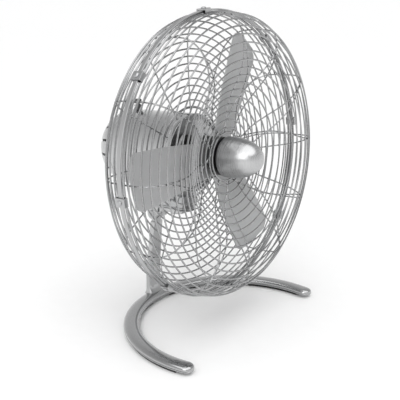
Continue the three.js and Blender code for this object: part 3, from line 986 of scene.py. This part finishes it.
piece("post_bar", post(), post_steel, "stand", ["post"], STAND)
for i, height in enumerate((15, 22)):
    seat = Matrix.Translation((7, BASE_CENTRE_Y + BASE_RADIUS + 3.2, height))
    plug = moved(screw_head(1.5, 0.9), seat @ Matrix.Rotation(math.pi, 4, "Z"))
    piece(f"post_plug_{i + 1}", plug, black_plastic, "stand", [], STAND)


def foot_pad(middle_angle, half_angle):
    """A curved rubber strip under the base."""
    section = eased([(-6.5, 0), (6.5, 0), (6.5, 2.6), (-6.5, 2.6)], 0.7)
    steps = 24
    rings = []
    for k in range(steps + 1):
        a = math.radians(middle_angle - half_angle + 2 * half_angle * k / steps)
        outwards = Vector((math.sin(a), math.cos(a), 0))
        centre = outwards * BASE_RADIUS + Vector((0, BASE_CENTRE_Y, 0))
        rings.append([centre + outwards * across + Vector((0, 0, up)) for across, up in section])
    return loft(rings)


for name, middle_angle, half_angle in (
    ("left", -78, 18), ("right", 78, 18), ("rear_left", -18, 10), ("rear_right", 18, 10),
):
    piece(f"foot_pad_{name}_strip", foot_pad(middle_angle, half_angle), rubber, "stand",
          [f"foot_pad_{name}"], STAND, bevel=0.4)


# ------------------------------------------------------------------ carried-over CAD nodes
slots_of = {part["node"]: part["material_slot"] for part in frame["record"]["subparts"]}
for node, obj in frame["nodes"].items():
    look = SLOT_LOOKS[slots_of[node]]
    for material_slot in obj.material_slots:
        material_slot.material = look
    if not obj.material_slots:
        obj.data.materials.append(look)


# ------------------------------------------------------------------ floor, light and camera
FLOOR_HALF = 60.0            # metres


def floor():
    mesh = bpy.data.meshes.new("studio_floor")
    corners = [(x * FLOOR_HALF, y * FLOOR_HALF, 0) for x, y in ((-1, -1), (1, -1), (1, 1), (-1, 1))]
    mesh.from_pydata(corners, [], [(0, 1, 2, 3)])
    material, nodes, links = new_material("pale_floor")
    shader = nodes["Principled BSDF"]
    texture = noise(nodes, links, mapped(nodes, links, (1, 1, 1)), 60.0, 2.0)
    links.new(shaded(nodes, links, texture, (0.9, 0.9, 0.9), (0.91, 0.91, 0.91)), shader.inputs["Base Color"])
    shader.inputs["Roughness"].default_value = 0.6
    mesh.materials.append(material)
    obj = bpy.data.objects.new("studio_floor", mesh)
    bpy.context.scene.collection.objects.link(obj)


WORLD_AT_HORIZON = (1, 1, 1, 1)
WORLD_OVERHEAD = (0.3, 0.3, 0.3, 1)


def studio_world():
    """Pale light from all round that dims towards the ceiling, alike on every side and to every ray."""
    world = bpy.data.worlds.new("studio")
    bpy.context.scene.world = world
    world.use_nodes = True
    nodes, links = world.node_tree.nodes, world.node_tree.links
    direction = nodes.new("ShaderNodeTexCoord")
    height = nodes.new("ShaderNodeSeparateXYZ")
    fade = nodes.new("ShaderNodeValToRGB")
    links.new(direction.outputs["Generated"], height.inputs["Vector"])
    links.new(height.outputs["Z"], fade.inputs["Fac"])
    fade.color_ramp.elements[0].color = WORLD_AT_HORIZON
    fade.color_ramp.elements[1].color = WORLD_OVERHEAD
    links.new(fade.outputs["Color"], nodes["Background"].inputs["Color"])


def soft_sun(name, place, strength, spread_degrees):
    """A broad lamp that shines from a place towards the middle of the floor, equally bright everywhere."""
    data = bpy.data.lights.new(name, "SUN")
    data.energy = strength
    data.angle = math.radians(spread_degrees)
    obj = bpy.data.objects.new(name, data)
    obj.location = place
    obj.rotation_euler = (-Vector(place)).to_track_quat("-Z", "Y").to_euler()
    bpy.context.scene.collection.objects.link(obj)


def softbox(name, place, target, size, power):
    data = bpy.data.lights.new(name, "AREA")
    data.shape = "RECTANGLE"
    data.size, data.size_y = size
    data.energy = power
    obj = bpy.data.objects.new(name, data)
    obj.location = place
    obj.rotation_euler = (Vector(target) - Vector(place)).to_track_quat("-Z", "Y").to_euler()
    bpy.context.scene.collection.objects.link(obj)


CAMERA_AIM_HEIGHT = 0.19     # metres
CAMERA_DISTANCE = 0.856      # metres
CAMERA_AZIMUTH = -55.33      # degrees, as are the next three
CAMERA_ELEVATION = 15.21
CAMERA_PAN = 3.18
CAMERA_LIFT = 1.61
CAMERA_LENS = 64.58          # millimetres, on a sensor 36 mm wide


def bearing(azimuth_degrees, elevation_degrees):
    """A unit direction; azimuth 0 points at the fan's front."""
    azimuth, elevation = math.radians(azimuth_degrees), math.radians(elevation_degrees)
    level = math.cos(elevation)
    return Vector((math.sin(azimuth) * level, -math.cos(azimuth) * level, math.sin(elevation)))


def studio_camera():
    """Stands at the picture's place and looks a little past the base arc's centre."""
    towards = bearing(CAMERA_AZIMUTH, CAMERA_ELEVATION)
    facing = bearing(CAMERA_AZIMUTH + CAMERA_PAN, CAMERA_ELEVATION + CAMERA_LIFT)
    data = bpy.data.cameras.new("camera")
    data.sensor_width = 36
    data.lens = CAMERA_LENS
    obj = bpy.data.objects.new("camera", data)
    obj.location = Vector((0, BASE_CENTRE_Y * MM, CAMERA_AIM_HEIGHT)) + towards * CAMERA_DISTANCE
    obj.rotation_mode = "QUATERNION"
    obj.rotation_quaternion = (-facing).to_track_quat("-Z", "Y")
    bpy.context.scene.collection.objects.link(obj)
    bpy.context.scene.camera = obj


floor()
studio_world()
soft_sun("overhead", place=(-0.3, -0.3, 1.6), strength=2.0, spread_degrees=80)
softbox("side", place=(-1.4, -0.5, 0.9), target=(0, 0, 0.2), size=(0.9, 0.9), power=5)
studio_camera()
bpy.context.scene.view_settings.view_transform = "Standard"
